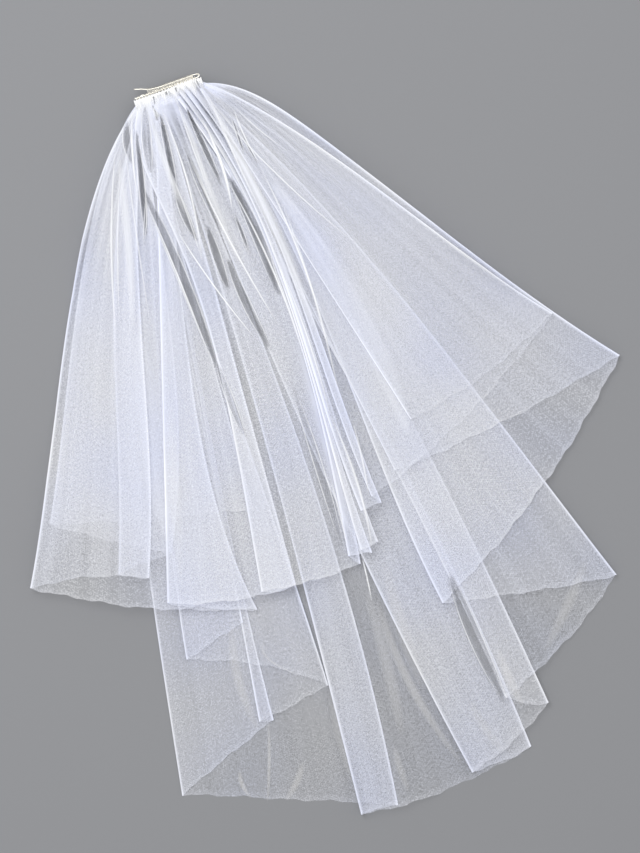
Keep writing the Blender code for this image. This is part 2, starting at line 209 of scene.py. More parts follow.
loop = np.radians(np.linspace(-90, 90, STRAND_LOOP_STEPS))
free_s, free_v = np.array(FREE_STRAND).T
loop_v = (STRAND_FAR_V + STRAND_NEAR_V) / 2 + (STRAND_NEAR_V - STRAND_FAR_V) / 2 * np.sin(loop)
spine_s = np.concatenate([free_s, STRAND_LOOP_S + STRAND_LOOP_DEPTH * np.cos(loop), TIED_STRAND])
spine_v = np.concatenate([free_v, loop_v, np.full(len(TIED_STRAND), STRAND_NEAR_V)])
spine_route = eased_route(comb_space(spine_s, spine_v, SPINE_HEIGHT), SPINE_STEPS)
spine = make_wire("comb_spine_wire", spine_route, SPINE_WIRE, UP, wire_metal)
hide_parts("comb_spine")

# The binding. Thin wire of the same plating, wound in an oval coil round both strands: loose and open at the left,
# where the free strand springs away, and close at the right.
COIL_WIRE = 0.55
COIL_START = 17.0
COIL_END = 70.0
COIL_TURNS = 29
COIL_STEPS = 20
COIL_CLEARANCE = 1.7
COIL_HALF_HEIGHT = 1.6
COIL_LOOSENESS = 0.4

turn = np.linspace(0, 2 * math.pi * COIL_TURNS, COIL_TURNS * COIL_STEPS + 1)
wound = turn / turn[-1]
coil_s = COIL_START + (COIL_END - COIL_START) * (wound + COIL_LOOSENESS * wound * (1 - wound))
far_v = np.interp(coil_s, free_s, free_v)
coil_v = (far_v + STRAND_NEAR_V) / 2 + ((STRAND_NEAR_V - far_v) / 2 + COIL_CLEARANCE) * np.cos(turn)
coil_route = comb_space(coil_s, coil_v, SPINE_HEIGHT + COIL_HALF_HEIGHT * np.sin(turn))
coil_axis = np.array([*ALONG, 0.0])
coil = make_wire("comb_binding_wire", coil_route, COIL_WIRE, coil_axis, wire_metal)
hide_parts("comb_coil")

# The long tier. One flared piece of nylon tulle, hem about 2.2 m wide, gathered to the comb's width and laid out
# in flat pleats. Each row below is a fold, in the order that the cut's width runs through them.
TULLE_WALL = 1.0
LAYER_STEP = 1.36
SEAM_GAP = 0.3
FOLD_RADIUS = 0.68
HEADER_FAR_V = 8.0
COLUMN_WIDTH = 58.0
NET_ROWS = np.array((0.0, 0.02, 0.045, 0.08, 0.13, 0.2, 0.29, 0.4, 0.52, 0.65, 0.78, 0.9, 1.0))
MAP_CELL = 0.75
MAP_HALF_WIDTH = 380.0
MAP_HALF_LENGTH = 470.0
SINK_SHARES = (0.5, 0.5, 0.7, 1.0, 1.0)
SINK_LEAST_WEIGHT = 0.001
COMB_MOUND = 7.5
MOUND_REACH = 88.0
MOUND_SIDE = 40.0
SHOULDER_PLACE = 0.12

# turn, gather, hem_x, hem_y, sways, shoulder and hem_bow place the fold, and cover is how much of the surface under
# it the tulle from the row before to this one hides.
Fold = namedtuple("Fold", "turn gather hem_x hem_y sway_high sway_low shoulder hem_bow cover")

LONG_FOLDS = (
    Fold("edge", 5, -91, -194, 0, 0, 0, 0, 0),
    Fold("left", 0, -153, -237, 0, -6, 0, 0, 0.2),
    Fold("right", 14, 3, -263, -9, -4, 0, -9, 0.18),
    Fold("left", 11, -73, -305, 0, 0, 0, 2, 0.18),
    Fold("right", 14.5, -57, -302, -3, -6, 0, 0, 0.18),
    Fold("left", 9, -158, -385, -30, -22, 0, 0, 0.24),
    Fold("right", 30, 80, -396, 18, 21, 0, 0, 0.19),
    Fold("left", 26.5, 39, -406, 9, 7, 0, 0, 0.3),
    Fold("right", 42, 227, -332, 22, 21, 0, 10, 0.17),
    Fold("left", 38.5, 161, -360, -13, -13, 0, 3, 0.29),
    Fold("right", 54, 246, -284, 30, 23, 0, 4, 0.2),
    Fold("left", 50.5, 197, -277, 11, 11, 0, 4, 0.23),
    Fold("right", 66, 321, -143, 21, 13, 3, 8, 0.2),
    Fold("left", 61.5, 128, -173, 23, 8, 2, 3, 0.24),
    Fold("right", 78, 323, 99, 12, 3, 14, 15, 0.29),
    Fold("edge", 72, 76, -28, 0, 0, 0, 7, 0.24),
)
LONG_ORDER = (5, 4, 3, 2, 1, 0) + tuple(range(6, len(LONG_FOLDS) - 1))


def hump(t, peak, other):
    """A cubic that is 1 at peak and 0 at both ends and at other."""
    return t * (t - other) * (t - 1) / (peak * (peak - other) * (peak - 1))


def fold_line(fold, t):
    """The fold's route, and the way into its panels: straight, plus two cubic sways and the shoulder's bow.

    The bow is x times e to the 1 - x, a quick rise and a slow fall, where x is t over the shoulder's place.
    """
    t = t[:, None]
    start = COMB_LEFT_END + fold.gather * ALONG + (HEADER_FAR_V + SEAM_GAP) * DOWN
    run = np.array([fold.hem_x, fold.hem_y]) - start
    across = np.array([-run[1], run[0]]) / np.linalg.norm(run)
    sway = fold.sway_high * hump(t, 0.3, 0.7) + fold.sway_low * hump(t, 0.7, 0.3)
    sway += fold.shoulder * t / SHOULDER_PLACE * np.exp(1 - t / SHOULDER_PLACE)
    line = start + t * run + sway * across
    tangent = unit(np.gradient(line, axis=0))
    inward = np.stack([-tangent[:, 1], tangent[:, 0]], axis=1)
    return line, inward * {"left": 1, "right": -1, "edge": 0}[fold.turn]


def panel_edges(before, after, t):
    """Where a panel's two sides run, a fold's radius inside its two folds."""
    first, first_inward = fold_line(before, t)
    last, last_inward = fold_line(after, t)
    return first + first_inward * FOLD_RADIUS, last + last_inward * FOLD_RADIUS


def panel_plan(before, after, t, s):
    """Plan points at rows t and shares s of the width: between both sides, bowed outwards towards the hem."""
    first, last = panel_edges(before, after, t)
    plan = first[:, None] * (1 - s[:, :, None]) + last[:, None] * s[:, :, None]
    outward = unit(plan - (COMB_LEFT_END + COMB_LENGTH / 2 * ALONG))
    bow = after.hem_bow * 4 * s * (1 - s) * t[:, None] ** 3
    return plan + outward * bow[:, :, None]


def map_index(x, y):
    """The height map's row and column at plan places x and y."""
    column = np.rint((x + MAP_HALF_WIDTH) / MAP_CELL).astype(int)
    return np.rint((y + MAP_HALF_LENGTH) / MAP_CELL).astype(int), column


def comb_mound():
    """The map before any cloth: the surface, with a smooth mound over the comb that falls off on three sides."""
    x = np.arange(-MAP_HALF_WIDTH, MAP_HALF_WIDTH + MAP_CELL, MAP_CELL)[None, :] - COMB_LEFT_END[0]
    y = np.arange(-MAP_HALF_LENGTH, MAP_HALF_LENGTH + MAP_CELL, MAP_CELL)[:, None] - COMB_LEFT_END[1]
    s = x * ALONG[0] + y * ALONG[1]
    v = x * DOWN[0] + y * DOWN[1]
    down = np.clip(v / MOUND_REACH, 0, 1)
    beside = np.clip(np.maximum(-s, s - COMB_LENGTH) / MOUND_SIDE, 0, 1)
    fall = (1 - down ** 2 * (3 - 2 * down)) * (1 - beside ** 2 * (3 - 2 * beside))
    return COMB_MOUND * fall - LAYER_STEP + TULLE_WALL / 2


def lay_panel(plan, heights):
    """Heights of a net of plan points, laid on the map one step over what is there, then let down until it touches.

    Samples of each cell's two triangles ask for the height under them plus a step. Points start at the highest
    need round them and sink in turn, each by the least spare room over its samples, divided by its weight there.
    """
    rows, columns = plan.shape[:2]
    across = np.linalg.norm(np.diff(plan, axis=1), axis=2).max()
    along = np.linalg.norm(np.diff(plan, axis=0), axis=2).max()
    u = np.linspace(0, rows - 1, int((rows - 1) * along / MAP_CELL) + 2)
    v = np.linspace(0, columns - 1, int((columns - 1) * across / MAP_CELL) + 2)
    i = np.minimum(u.astype(int), rows - 2)
    j = np.minimum(v.astype(int), columns - 2)
    fu, fv = (u - i)[:, None], (v - j)[None, :]
    weights = {
        (0, 0): 1 - np.maximum(fu, fv), (1, 0): np.maximum(fu - fv, 0),
        (0, 1): np.maximum(fv - fu, 0), (1, 1): np.minimum(fu, fv),
    }
    row_start = np.searchsorted(i, np.arange(rows - 1))
    column_start = np.searchsorted(j, np.arange(columns - 1))

    def read(values):
        """Values of the net's points at every sample."""
        return sum(weight * values[np.ix_(i + a, j + b)] for (a, b), weight in weights.items())

    def by_cell(values, reduce):
        """The samples' values brought together, cell by cell."""
        return reduce.reduceat(reduce.reduceat(values, row_start, axis=0), column_start, axis=1)

    place = map_index(read(plan[:, :, 0]), read(plan[:, :, 1]))
    need = heights[place] + LAYER_STEP
    highest = np.full((rows + 1, columns + 1), -np.inf)
    highest[1:-1, 1:-1] = by_cell(need, np.maximum)
    z = np.maximum(highest[:-1], highest[1:])
    z = np.maximum(z[:, :-1], z[:, 1:])
    for share in SINK_SHARES:
        for odd_row, odd_column in ((1, 1), (0, 0), (1, 0), (0, 1)):
            goes_down = (np.arange(rows - 1) % 2 != odd_row).astype(int)
            goes_side = (np.arange(columns - 1) % 2 != odd_column).astype(int)
            is_down, is_side = goes_down[i][:, None] > 0, goes_side[j][None, :] > 0
            weight = np.where(
                is_down,
                np.where(is_side, weights[1, 1], weights[1, 0]),
                np.where(is_side, weights[0, 1], weights[0, 0]),
            )
            spare = (read(z) - need) / np.maximum(weight, SINK_LEAST_WEIGHT)
            room = np.where(weight > SINK_LEAST_WEIGHT, spare, np.inf)
            sink = np.full(z.shape, np.inf)
            corner = np.arange(rows - 1)[:, None] + goes_down[:, None], np.arange(columns - 1) + goes_side
            np.minimum.at(sink, corner, by_cell(room, np.minimum))
            z = z - share * np.where(np.isfinite(sink), np.maximum(sink, 0), 0)
    np.maximum.at(heights, place, read(z))
    window = tuple(slice(index.min() - 2, index.max() + 3) for index in place)
    laid = heights[window]
    for axis in (0, 1):
        laid = np.maximum(laid, np.maximum(np.roll(laid, 1, axis), np.roll(laid, -1, axis)))
    heights[window] = laid
    return z


def settle_tier(folds, order, heights):
    """The heights of every panel's coarse net, laid down one after the other in the order given."""
    nets = [None] * (len(folds) - 1)
    for k in order:
        width = np.linalg.norm(np.subtract(*[side[-1] for side in panel_edges(folds[k], folds[k + 1], NET_ROWS)]))
        columns = max(2, math.ceil(width / COLUMN_WIDTH))
        s = np.broadcast_to(np.linspace(0, 1, columns + 1), (len(NET_ROWS), columns + 1))
        nets[k] = lay_panel(panel_plan(folds[k], folds[k + 1], NET_ROWS, s), heights)
    return nets


# The finer net of the cloth that shows. Rows crowd together towards the gathers, and columns beside the folds.
CLOTH_ROWS = 146
CLOTH_ROW_CROWDING = 1.5
CLOTH_COLUMN = 4.8
BESIDE_FOLD = np.array((0.0, 0.5, 1.2, 2.4, 4.5))
BESIDE_FOLD_SHARE = np.array((0.0, 0.04, 0.09, 0.15, 0.22))
FOLD_BENDS = np.radians((45, 90, 135))
FOLD_COVER = 0.75
BESIDE_FOLD_COVER = np.array((0.62, 0.5, 0.26, 0.05, 0.0))
LEAST_COVER = 0.02
MOST_COVER = 0.92

# Gathers: waves across each panel that die down towards the hem, thin between their ridges and packed at the comb
GATHER_WAVE = 22.0
GATHER_UNEVEN = 0.12
GATHER_UNEVEN_TURNS = 1.7
GATHER_HEIGHT = 0.42
GATHER_STEEPNESS = 0.22
GATHER_FADE = 0.22
GATHER_THINNING = 0.45
GATHER_COVER = 0.3
PACKED_COVER = 0.85
PACKED_REACH = 24.0

# Soft creases, each given by how far apart they are, how strongly they change the cover, and where they start
CREASES = ((11.0, 0.12, 0.3), (17.0, 0.18, 1.9), (31.0, 0.22, 4.1), (53.0, 0.14, 2.2))
CREASE_DRIFT = 0.004
CREASE_RUN = 60.0
CREASE_RUN_SHARE = 3.0
CREASE_FADE = 0.25
CREASE_AT_HEM = 0.3

# Painted sheen: patches of a warmer, brighter white where the cloth catches light, and the net's drift with them:
# how far apart, how swayed, and how far apart the sways are
PATCH_ACROSS = (41.0, 1.6, 67.0)
PATCH_ALONG = (59.0, 1.9, 83.0)
SHEEN_MIDDLE = 0.4
SHEEN_SPREAD = 0.6
NET_DRIFT = 2.2
DRIFT_ACROSS = (23.0, 2.0)
DRIFT_ALONG = (29.0, 3.0)

# The raw hem's waves: how far apart, what share of the waver, and where they start
HEM_WAVES = ((7.3, 1.0, 0.0), (3.1, 0.6, 1.0), (19.0, 0.5, 2.0))
HEM_WAVER = 0.9
HEM_WAVER_POWER = 12
HEM_COVER = 0.1
HEM_WIDTH = 1.6

# Long slits where the gathers open: three places along each, its half width, and how far it changes the cover
LENS_POWER = 0.65
SLIT_RIM = 0.05
SLIT_EDGE_POWER = 6
SLIT_END = 3.0
SLIT_WAVER = 0.05
SLIT_WAVE = 6.5

Streak = namedtuple("Streak", "x_top y_top x_mid y_mid x_low y_low half_width lift")
OPENINGS = (
    Streak(-164, 392, -163, 388, -162, 385, 1.3, -0.8),
    Streak(-175, 388, -174, 385, -173, 382, 1.2, -0.8),
    Streak(-188, 381, -187, 376, -186, 371, 1.2, -0.9),
    Streak(-188, 369, -185, 363, -183, 356, 1.2, -0.9),
    Streak(-141, 398, -139, 394, -136, 388, 1.2, -0.85),
    Streak(-196, 274, -197, 245, -199, 219, 1.2, -0.7),
    Streak(-207, 345, -202, 296, -197, 230, 3.4, -0.97),
    Streak(-217, 355, -217, 332, -211, 307, 4.6, -0.75),
    Streak(-197, 371, -196, 342, -191, 296, 5.2, -0.68),
    Streak(-203, 287, -166, 206, -119, 85, 6.2, -0.86),
    Streak(-181, 364, -172, 321, -162, 272, 3.6, -0.97),
    Streak(-163, 280, -155, 255, -141, 224, 4.6, -0.93),
    Streak(-152, 319, -135, 279, -113, 232, 3.6, -0.65),
    Streak(-152, 369, -134, 329, -113, 283, 3.4, -0.985),
    Streak(-130, 241, -119, 207, -106, 169, 4.8, -0.94),
    Streak(-108, 206, -87, 156, -59, 102, 5.2, -0.88),
    Streak(-106, 296, -76, 233, -51, 162, 6.6, -0.93),
    Streak(-100, 254, -92, 234, -84, 210, 2.2, -0.9),
    Streak(-103, 360, -96, 340, -89, 317, 1.6, -0.7),
    Streak(-95, 349, -85, 328, -74, 307, 1.6, -0.7),
    Streak(-189, 371, -186, 363, -184, 355, 1.3, -0.9),
    Streak(-119, 91, -103, 47, -87, 6, 4.4, -0.6),
    Streak(-37, 67, -5, -31, 20, -116, 4.6, -0.4),
    Streak(136, -140, 166, -215, 199, -285, 8.0, -0.8),
)

# The same for pleats turned under, whose extra layers show as denser bands
DENSE_BANDS = (
    Streak(-60, 289, 5, 196, 91, 10, 13.0, 0.45),
    Streak(-52, 215, -10, 54, 24, -95, 7.0, 0.5),
    Streak(-204, 126, -186, -25, -175, -102, 12.0, 0.3),
)


def streak_middle(streak, y):
    """The x of a streak's middle at y: the parabola through its three places."""
    top, mid, low = streak.y_top, streak.y_mid, streak.y_low
    return (
        streak.x_top * (y - mid) * (y - low) / ((top - mid) * (top - low))
        + streak.x_mid * (y - top) * (y - low) / ((mid - top) * (mid - low))
        + streak.x_low * (y - top) * (y - mid) / ((low - top) * (low - mid))
    )


def streak_lens(streak, y):
    """A streak's share of its half width at y: a power of the parabola that is 1 halfway and 0 at both ends."""
    run = np.clip((y - streak.y_low) / (streak.y_top - streak.y_low), 0, 1)
    return (4 * run * (1 - run)) ** LENS_POWER


def open_slits(cover, x, y):
    """The cover with its slits and bands: within a streak's lens it changes by the lift, which wavers along it."""
    for streak in OPENINGS + DENSE_BANDS:
        lens = streak_lens(streak, y)
        beside = np.abs(x - streak_middle(streak, y)) / streak.half_width
        waver = 1 - SLIT_WAVER * (1 + np.sin(y / SLIT_WAVE + streak.x_top))
        share = np.exp(-(beside / (lens + SLIT_RIM)) ** SLIT_EDGE_POWER) * np.clip(SLIT_END * lens, 0, 1)
        cover = cover * (1 + streak.lift * waver * share)
    return cover


def read_net(net, u, v):
    """A coarse net's heights at fractional rows u and columns v, on the triangles of its cells."""
    i = np.clip(u.astype(int), 0, net.shape[0] - 2)
    j = np.clip(v.astype(int), 0, net.shape[1] - 2)
    fu, fv = u - i, v - j
    return (
        (1 - np.maximum(fu, fv)) * net[i, j] + np.maximum(fu - fv, 0) * net[i + 1, j]
        + np.maximum(fv - fu, 0) * net[i, j + 1] + np.minimum(fu, fv) * net[i + 1, j + 1]
    )


def cloth_panel(before, after, net, t):
    """A panel's fine points and its cover: the coarse net's heights plus gather waves, sines across the width.

    The cover is the tulle's own, thinned by the gathers, with the cube of each wave's crest and the folds added.
    """
    first, last = panel_edges(before, after, t)
    width = np.linalg.norm(last - first, axis=1)[:, None]
    beside = np.minimum(BESIDE_FOLD / width, BESIDE_FOLD_SHARE)
    inner = max(2, round(width[-1, 0] / CLOTH_COLUMN))
    middle = np.linspace(0, 1, inner + 1)[None, 1:-1]
    s = np.concatenate([beside, beside[:, -1:] + middle * (1 - 2 * beside[:, -1:]), 1 - beside[:, ::-1]], axis=1)
    plan = panel_plan(before, after, t, s)
    rows = np.interp(t, NET_ROWS, np.arange(len(NET_ROWS)))[:, None]
    z = read_net(net, np.broadcast_to(rows, s.shape), s * (net.shape[1] - 1))
    waves = max(1, round(width[-1, 0] / GATHER_WAVE))
    fade = np.exp(-t / GATHER_FADE)[:, None]
    phase = 2 * math.pi * waves * (s + GATHER_UNEVEN / waves * np.sin(2 * math.pi * s * GATHER_UNEVEN_TURNS))
    height = np.minimum(GATHER_HEIGHT, GATHER_STEEPNESS * width / waves)
    z = z + height * fade * np.sin(phase) * np.sin(math.pi * s) ** 0.2
    cover = np.full(s.shape, after.cover)
    ridge = (0.5 + 0.5 * np.sin(phase)) ** 3
    cover = cover * (1 - GATHER_THINNING * fade) + GATHER_COVER * fade * ridge
    beside_cover = np.zeros(s.shape)
    beside_cover[:, :len(BESIDE_FOLD)] = BESIDE_FOLD_COVER
    beside_cover[:, -len(BESIDE_FOLD):] = BESIDE_FOLD_COVER[::-1]
    cover = np.maximum(cover, np.minimum(cover + beside_cover, FOLD_COVER))
    return np.concatenate([plan, z[:, :, None]], axis=2), cover


def swayed_wave(at, beside, wave):
    """The sine of at over the wave's width, swayed by the sine of beside over the sways' width."""
    apart, sway, sway_apart = wave
    return np.sin(at / apart + sway * np.sin(beside / sway_apart))


def make_tier(name, folds, nets, material):
    """One sheet: every panel's grid joined by half-circle folds, with cover on its points and its flat map.

    Its cover is then creased by sines across it, packed by a bell curve at the comb, rimmed at the hem and slit.
    """
    t = np.linspace(0, 1, CLOTH_ROWS + 1) ** CLOTH_ROW_CROWDING
    blocks, covers = [], []
    for k, net in enumerate(nets):
        points, cover = cloth_panel(folds[k], folds[k + 1], net, t)
        if blocks:
            line, inward = fold_line(folds[k], t)
            low, high = blocks[-1][:, -1, 2], points[:, 0, 2]
            for bend in FOLD_BENDS:
                plan = line + inward * FOLD_RADIUS * (1 - math.sin(bend))
                z = (low + high) / 2 - (high - low) / 2 * math.cos(bend)
                blocks.append(np.column_stack([plan, z])[:, None])
                covers.append(np.full((len(t), 1), FOLD_COVER))
        blocks.append(points)
        covers.append(cover)
    points = np.concatenate(blocks, axis=1)
    cover = np.concatenate(covers, axis=1)
    hem_step = np.linalg.norm(np.diff(points[-1, :, :2], axis=0), axis=1)
    across = np.concatenate([[0.0], np.cumsum(hem_step)])
    length = np.concatenate([[np.zeros(points.shape[1])], np.linalg.norm(np.diff(points, axis=0), axis=2)])
    length = np.cumsum(length, axis=0)
    outward = unit(points[:, :, :2] - (COMB_LEFT_END + COMB_LENGTH / 2 * ALONG))
    waver = HEM_WAVER * sum(share * np.sin(across / apart + start) for apart, share, start in HEM_WAVES)
    points[:, :, :2] += outward * (waver * t[:, None] ** HEM_WAVER_POWER)[:, :, None]
    creases = 0.0
    for apart, depth, start in CREASES:
        lean = CREASE_DRIFT * apart * np.sin(length / (CREASE_RUN + CREASE_RUN_SHARE * apart))
        creases = creases + depth * np.sin(2 * math.pi * (across / apart + lean) + start)
    cover = cover * (1 + creases * (CREASE_AT_HEM + (1 - CREASE_AT_HEM) * np.exp(-t / CREASE_FADE))[:, None])
    cover = cover + (PACKED_COVER - cover) * np.exp(-(length / PACKED_REACH) ** 2)
    from_hem = length[-1] - length
    cover = cover + HEM_COVER * (from_hem < HEM_WIDTH)
    cover = open_slits(cover, points[:, :, 0], points[:, :, 1])
    patches = swayed_wave(across, length, PATCH_ACROSS) * swayed_wave(length, across, PATCH_ALONG)
    (apart_u, sway_u), (apart_v, sway_v) = DRIFT_ACROSS, DRIFT_ALONG
    drift_u = np.sin(length / apart_u + sway_u * patches)
    drift_v = np.sin(across / apart_v + sway_v * patches)
    drift = NET_DRIFT * np.stack([drift_u, drift_v], axis=2)
    cloth_map = (np.stack([np.broadcast_to(across, length.shape), length], axis=2) + drift) * MM
    faces = grid_faces(*points.shape[:2])
    # Painted sheen: a warmer, brighter white in the patches where the cloth catches light
    painted_sheen = np.clip(SHEEN_MIDDLE + SHEEN_SPREAD * patches, 0, 1)
    marks = {"cover": np.clip(cover, LEAST_COVER, MOST_COVER), "painted_sheen": painted_sheen}
    return make_piece(name, points, faces, material, marks, cloth_map)


NET_HOLE = 2.4
GRAIN_A_METRE = 380.0


def bridal_tulle():
    """Nylon bobbinet tulle, matt and bluish white: a fine six-sided net that hides a part of what is under it.

    The real holes are about 1.2 mm wide. They are drawn 2.4 mm wide, about the finest that shows in the render.
    The points' painted sheen turns the white from bluish to a brighter, nearly neutral white where the cloth catches
    light.
    A mottled grain of 2.6 mm breaks up the net, as two nets over each other do, and both fade where the cloth is
    bunched and its cover is high.
    """
    material = bpy.data.materials.new("white_nylon_bobbinet_tulle")
    material.use_nodes = True
    tree = material.node_tree
    shader = tree.nodes["Principled BSDF"]
    cloth = add(tree, "UVMap", uv_map="cloth")
    place = add(tree, "SeparateXYZ", {"Vector": cloth.outputs["UV"]})
    turns = 2 * math.pi / (NET_HOLE * MM)
    lobes = []
    for angle in np.radians((0, 60, 120)):
        turn_u = add(tree, "Math", {0: place.outputs["X"], 1: turns * math.cos(angle)}, operation="MULTIPLY")
        phase = add(tree, "Math", {0: place.outputs["Y"], 1: turns * math.sin(angle), 2: turn_u.outputs["Value"]},
                    operation="MULTIPLY_ADD")
        lobes.append(add(tree, "Math", {0: phase.outputs["Value"]}, operation="COSINE").outputs["Value"])
    two = add(tree, "Math", {0: lobes[0], 1: lobes[1]}, operation="ADD")
    three = add(tree, "Math", {0: two.outputs["Value"], 1: lobes[2]}, operation="ADD")
    net = add(tree, "MapRange", {"Value": three.outputs["Value"], "From Min": -1.5, "From Max": 3.0,
                                 "To Min": 1.3, "To Max": 0.45})
    specks = add(tree, "TexNoise", {"Vector": cloth.outputs["UV"], "Scale": GRAIN_A_METRE, "Detail": 1.0,
                                    "Roughness": 0.7})
    grain = add(tree, "MapRange", {"Value": specks.outputs["Fac"], "From Min": 0.3, "From Max": 0.7,
                                   "To Min": 0.25, "To Max": 1.75})
    cover = add(tree, "Attribute", attribute_name="cover")
    woven = add(tree, "Math", {0: net.outputs["Result"], 1: grain.outputs["Result"]}, operation="MULTIPLY")
    bunched = add(tree, "MapRange", {"Value": cover.outputs["Fac"], "From Min": 0.13, "From Max": 0.44})
    texture = add(tree, "Mix", {0: bunched.outputs["Result"], 2: woven.outputs["Value"], 3: 1.0})
    alpha = add(tree, "Math", {0: cover.outputs["Fac"], 1: texture.outputs[0]}, operation="MULTIPLY", use_clamp=True)
    # Painted sheen: the points' value mixes the bluish white towards a brighter, nearly neutral white
    painted_sheen = add(tree, "Attribute", attribute_name="painted_sheen")
    tone = add(tree, "MixRGB", {"Fac": painted_sheen.outputs["Fac"], "Color1": linear("#EBEFFF"), "Color2": linear("#F4F5F9")})
    tree.links.new(alpha.outputs["Value"], shader.inputs["Alpha"])
    tree.links.new(tone.outputs["Color"], shader.inputs["Base Color"])
    shader.inputs["Roughness"].default_value = 0.6
    shader.inputs["Specular IOR Level"].default_value = 0.3
    return material


tulle = bridal_tulle()
height_map = comb_mound()
long_nets = settle_tier(LONG_FOLDS, LONG_ORDER, height_map)
long_tier = make_tier("long_tier", LONG_FOLDS, long_nets, tulle)
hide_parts("lower_tier")

# The short tier. A second flared piece of the same tulle, hem about 1.9 m wide, gathered over the long one and laid
# out in its own pleats, closer together in the middle.
SHORT_FOLDS = (
    Fold("edge", 6, -79, -70, 0, 0, 0, 0, 0),
    Fold("left", 0, -304, -87, -20, -11, -5, 3, 0.29),
    Fold("right", 12, -169, -118, 6, 16, 0, 3, 0.29),
    Fold("left", 9, -227, -141, -22, -10, -2, 0, 0.29),
    Fold("right", 14, -193, -145, -11, 0, 0, 2, 0.29),
    Fold("left", 4, -324, -157, -26, -13, -4, -6, 0.29),
    Fold("right", 26, -75, -180, -11, -24, 0, 9, 0.26),
    Fold("left", 22.5, -173, -173, 0, 0, 0, 3, 0.29),
    Fold("right", 31, -32, -153, 0, 0, 0, 7, 0.29),
    Fold("left", 6, -70, -161, 17, 12, -23, 2, 0.3),
    Fold("right", 45, 39, -131, 35, 29, 0, 2, 0.29),
    Fold("left", 42, 25, -122, 33, 26, 0, 0, 0.29),
    Fold("right", 51, 51, -117, 26, 13, 0, 0, 0.29),
    Fold("left", 48, 38, -114, 28, 17, 0, 0, 0.29),
    Fold("right", 57, 58, -106, 25, 12, 0, 0, 0.29),
    Fold("left", 54, 39, -73, 22, 10, 0, 0, 0.29),
    Fold("right", 63, 61, -62, 21, 11, 0, 0, 0.29),
    Fold("left", 60, 50, -56, 21, 9, 0, 0, 0.29),
    Fold("right", 77, 249, 145, 10, 2, 2, 12, 0.14),
    Fold("edge", 70, 93, 28, 0, 0, 0, 9, 0.13),
)
SHORT_ORDER = tuple(range(len(SHORT_FOLDS) - 1))

short_nets = settle_tier(SHORT_FOLDS, SHORT_ORDER, height_map)
short_tier = make_tier("short_tier", SHORT_FOLDS, short_nets, tulle)
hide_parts("upper_tier")

# The tight tucks. Narrow folds of the short tier's own tulle that stand up between the gathers, and the turned rims
# of the slits where the gathers open. They are strips that lie on the highest cloth under them.
TUCK_STEPS = 44
TUCK_ACROSS = np.linspace(-1, 1, 5)
TUCK_LIFT = 0.35
TUCK_CROWN = 0.5
TUCK_END_WIDTH = 0.3
RIM_HALF_WIDTH = 0.9
RIM_COVER = 0.5
# Painted sheen: the wrinkles' tone, halfway from cream to white
WRINKLE_SHEEN_TONE = 0.5
TUCKS = (
    Streak(-211, 366, -211, 319, -205, 270, 1.4, 0.77),
    Streak(-229, 330, -234, 237, -229, 119, 1.5, 0.6),
    Streak(-197, 268, -166, 196, -126, 94, 1.4, 0.72),
    Streak(-181, 371, -152, 292, -135, 200, 1.5, 0.72),
    Streak(-166, 241, -129, 184, -73, 112, 1.5, 0.77),
    Streak(-136, 358, -114, 308, -102, 257, 2.2, 0.90),
    Streak(-149, 314, -105, 224, -50, 129, 1.8, 0.74),
    Streak(-113, 299, -65, 208, -23, 94, 1.6, 0.77),
    Streak(-73, 306, -30, 212, 3, 108, 1.6, 0.66),
    Streak(-100, 367, -89, 338, -71, 306, 1.4, 0.66),
    Streak(-101, 371, -78, 349, -40, 320, 1.4, 0.50),
    Streak(-133, 386, -72, 314, 38, 216, 1.6, 0.55),
    Streak(-162, 375, -149, 336, -128, 280, 1.4, 0.55),
    Streak(-127, 380, -103, 324, -70, 253, 1.9, 0.61),
    Streak(-171, 302, -151, 252, -135, 201, 1.2, 0.55),
    Streak(-224, 314, -227, 237, -225, 127, 1.2, 0.44),
    Streak(-221, 341, -212, 270, -191, 127, 1.2, 0.44),
    Streak(-52, 201, -23, 127, 5, 33, 1.6, 0.61),
    Streak(-47, 264, -15, 170, 16, 50, 1.6, 0.55),
    Streak(5, 33, 32, -33, 51, -113, 1.8, 0.66),
    Streak(29, 28, 40, -16, 48, -61, 1.4, 0.55),
    Streak(5, -36, 16, -77, 25, -116, 1.4, 0.55),
    Streak(-135, 388, -94, 314, -45, 201, 6.5, 0.5),
    Streak(-193, 365, -177, 314, -152, 250, 4.5, 0.45),
    Streak(-227, 319, -217, 237, -211, 127, 6.0, 0.4),
    Streak(-144, 327, -123, 270, -94, 199, 4.5, 0.35),
    Streak(-164, 380, -142, 324, -123, 264, 3.5, 0.4),
    Streak(-94, 324, -56, 242, -8, 116, 6.0, 0.35),
    Streak(39, -119, 45, -143, 51, -172, 1.2, 0.8),
    Streak(-169, 50, -164, -50, -158, -154, 8.0, 0.2),
)

# The same for soft wrinkles in the single layers near the hems: painted sheen, strips of cream tulle where they catch a
# softer light
SHEEN_WRINKLES = (
    Streak(45, -160, 67, -239, 84, -319, 8.8, 0.15),
    Streak(57, -170, 93, -263, 151, -352, 6.8, 0.21),
    Streak(64, -127, 82, -193, 108, -270, 9.5, 0.15),
    Streak(-63, -305, -62, -352, -64, -394, 2.3, 0.26),
    Streak(-25, -349, -32, -372, -43, -392, 5.4, 0.22),
    Streak(-94, -358, -91, -376, -82, -389, 3.5, 0.26),
    Streak(-102, -193, -96, -258, -74, -314, 6.8, 0.18),
    Streak(-68, -218, -48, -245, -21, -256, 2.2, 0.22),
    Streak(189, -223, 201, -255, 216, -287, 6.8, 0.22),
    Streak(159, -280, 175, -311, 195, -338, 8.1, 0.12),
    Streak(76, -330, 82, -355, 91, -380, 5.4, 0.15),
    Streak(5, -270, 16, -319, 29, -369, 6.8, 0.11),
    Streak(285, -127, 269, -170, 241, -226, 8.1, 0.15),
)


